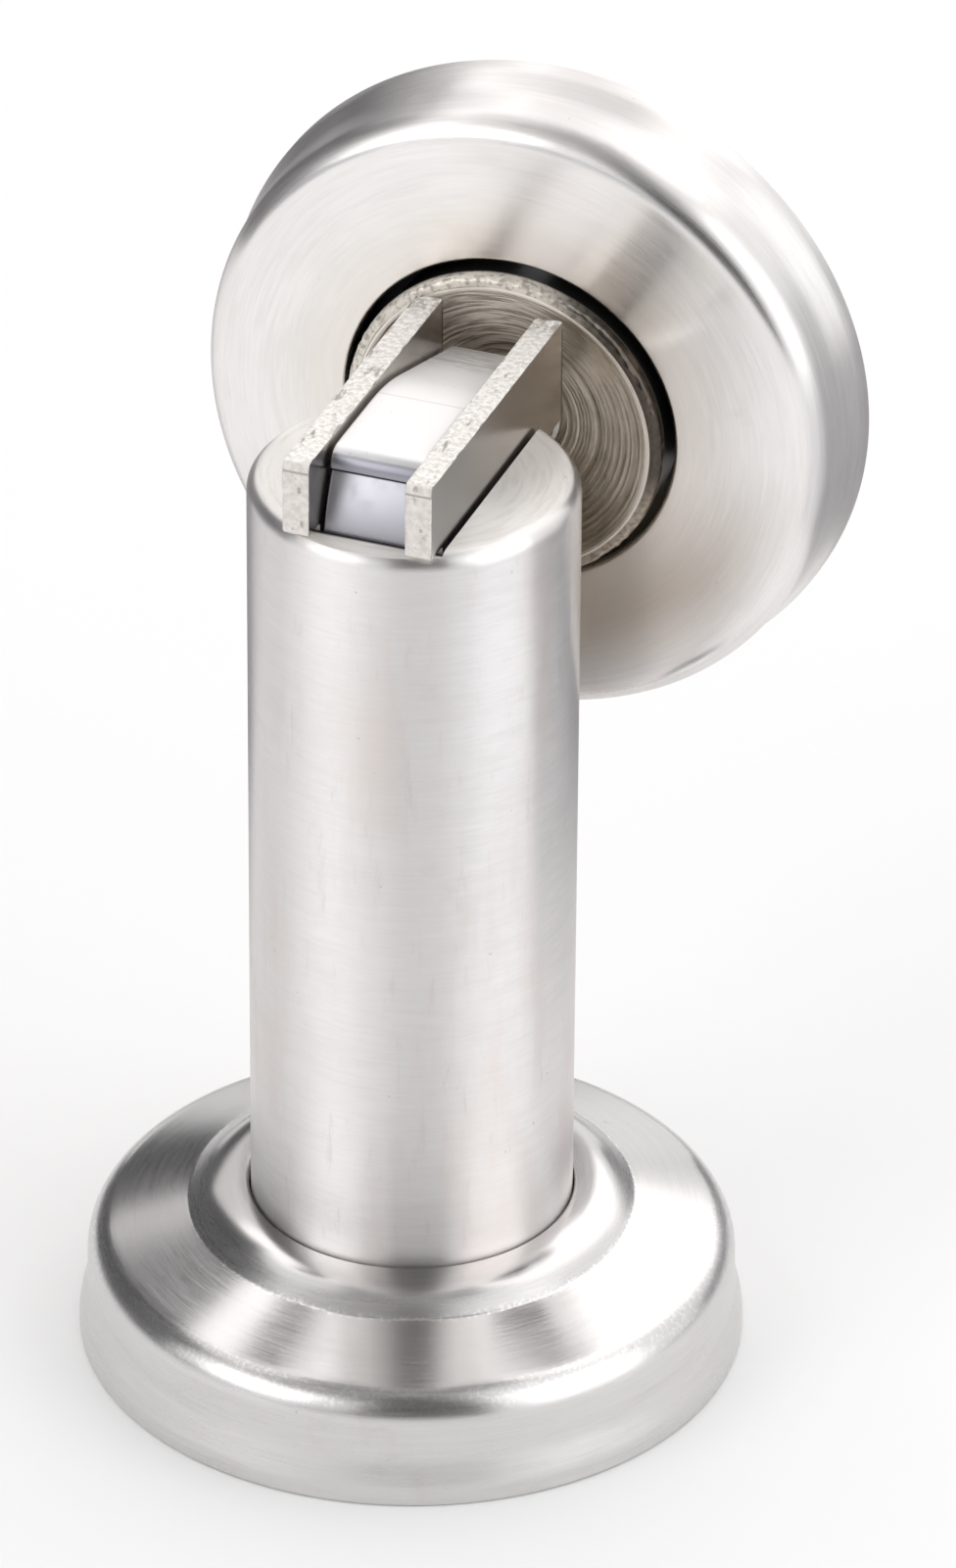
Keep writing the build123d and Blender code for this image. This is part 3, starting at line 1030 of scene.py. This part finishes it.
def ring_point(degrees, distance, height):
    """A point of the studio, by its angle to the right of the camera."""
    turn = math.radians(degrees)
    return (out * math.cos(turn) + side * math.sin(turn)) * distance + Vector((0, 0, height))


def sheet_of(name, points, faces, colour, only_mirrored=True):
    """A matt sheet of the studio, which as a rule shows only in the object's reflections."""
    material, start = new_finish(name)
    shader = start.add("ShaderNodeBsdfDiffuse", None, {"Color": colour})
    start.add("ShaderNodeOutputMaterial", None, {"Surface": shader})
    mesh = bpy.data.meshes.new(name)
    mesh.from_pydata(points, [], faces)
    mesh.materials.append(material)
    piece = bpy.data.objects.new(name, mesh)
    bpy.context.scene.collection.objects.link(piece)
    if only_mirrored:
        piece.visible_camera = False
        piece.visible_diffuse = False
        piece.visible_shadow = False


floor_half = 6.0
floor_drop = -0.00005
floor_white = (0.93, 0.93, 0.93, 1)
floor_points = [
    (-floor_half, -floor_half, floor_drop),
    (floor_half, -floor_half, floor_drop),
    (floor_half, floor_half, floor_drop),
    (-floor_half, floor_half, floor_drop),
]
sheet_of("floor", floor_points, [(0, 1, 2, 3)], floor_white, only_mirrored=False)


def card(name, turns, rises, distance, colour, steps=12):
    """A bowed card round the object, between two turns and two rises in degrees."""
    points, faces = [], []
    row = steps + 1
    for i in range(row):
        turn = turns[0] + (turns[1] - turns[0]) * i / steps
        for j in range(row):
            rise = math.radians(rises[0] + (rises[1] - rises[0]) * j / steps)
            points.append(ring_point(turn, distance * math.cos(rise), distance * math.sin(rise)))
            if i and j:
                here = i * row + j
                faces.append((here - row - 1, here - 1, here, here - row))
    sheet_of(name, points, faces, colour)


card("card_view", (-17, 27), (0.5, 84), 0.68, (0.05, 0.05, 0.05, 1))
card("card_low", (-84, -18), (0.5, 13), 0.60, (0.36, 0.36, 0.39, 1))
card("card_high", (-84, -18), (47, 80), 0.62, (0.34, 0.335, 0.33, 1))
card("card_left", (-158, -86), (0, 25), 0.46, (0.09, 0.09, 0.095, 1))
card("card_left_back", (-172, -158), (9, 25), 0.46, (0.05, 0.05, 0.055, 1))
card("card_left_high", (-148, -88), (25, 52), 0.47, (0.08, 0.08, 0.085, 1))
card("card_left_far", (-177, -148), (25, 42), 0.47, (0.76, 0.75, 0.75, 1))
card("card_right_far", (164, 178), (22, 40), 0.47, (0.60, 0.59, 0.59, 1))
card("card_top", (-180, 180), (73, 90), 0.60, (0.34, 0.335, 0.335, 1), 36)
card("card_brow", (136, 224), (59.5, 66), 0.58, (0.02, 0.02, 0.02, 1))
card("card_back", (168, 192), (12, 40), 0.13, (0.46, 0.455, 0.46, 1))
card("card_right", (112, 160), (0, 15), 0.46, (0.20, 0.20, 0.21, 1))

mat_near = 0.085
mat_far = 0.7
mat_height = 0.0006
for name, first, last, grey in (("mat_back", 85, 225, 0.32), ("mat_right", 30, 85, 0.74)):
    turns = range(first, last + 1, 5)
    points = [ring_point(turn, reach, mat_height) for turn in turns for reach in (mat_near, mat_far)]
    faces = [(i, i + 1, i + 3, i + 2) for i in range(0, len(points) - 2, 2)]
    sheet_of(name, points, faces, (grey, grey, grey * 1.02, 1))


def soft_box(name, degrees, rise, distance, wide, tall, glow, colour):
    """A soft box that faces the object, as bright all over as a white of its glow."""
    lamp = bpy.data.lights.new(name, "AREA")
    lamp.shape = "RECTANGLE"
    lamp.size = wide
    lamp.size_y = tall
    lamp.energy = glow * math.pi * wide * tall
    lamp.color = colour
    piece = bpy.data.objects.new(name, lamp)
    lift = math.radians(rise)
    spot = ring_point(degrees, distance * math.cos(lift), distance * math.sin(lift))
    piece.matrix_world = Matrix.Translation(spot) @ spot.to_track_quat("Z", "Y").to_matrix().to_4x4()
    bpy.context.scene.collection.objects.link(piece)


soft_box("box_left", -55, 29, 0.80, 0.48, 0.80, 1.35, (1.0, 0.98, 0.975))
soft_box("box_right", 61, 27, 0.80, 0.60, 0.76, 1.15, (0.985, 0.985, 1.0))
soft_box("box_back", 165, 50, 0.90, 1.05, 0.95, 0.75, (1.0, 0.95, 0.945))

tent_white = (1, 1, 1, 1)
tent_fill = 0.74
world = bpy.data.worlds.new("tent")
bpy.context.scene.world = world
world.use_nodes = True
world.node_tree.nodes.clear()
start = Shade(world.node_tree)
straight = start.add("ShaderNodeLightPath", out="Is Camera Ray")
mirrored = start.add("ShaderNodeLightPath", out="Is Glossy Ray")
through = start.add("ShaderNodeLightPath", out="Is Transmission Ray")
fill = start.add("ShaderNodeBackground", None, {"Color": tent_white, "Strength": tent_fill})
white = start.add("ShaderNodeBackground", None, {"Color": tent_white, "Strength": 1.0})
seen = straight.either(mirrored).either(through)
tent = start.add("ShaderNodeMixShader", None, {0: seen, 1: fill, 2: white})
start.add("ShaderNodeOutputWorld", None, {"Surface": tent})

bpy.context.scene.view_settings.view_transform = "Standard"
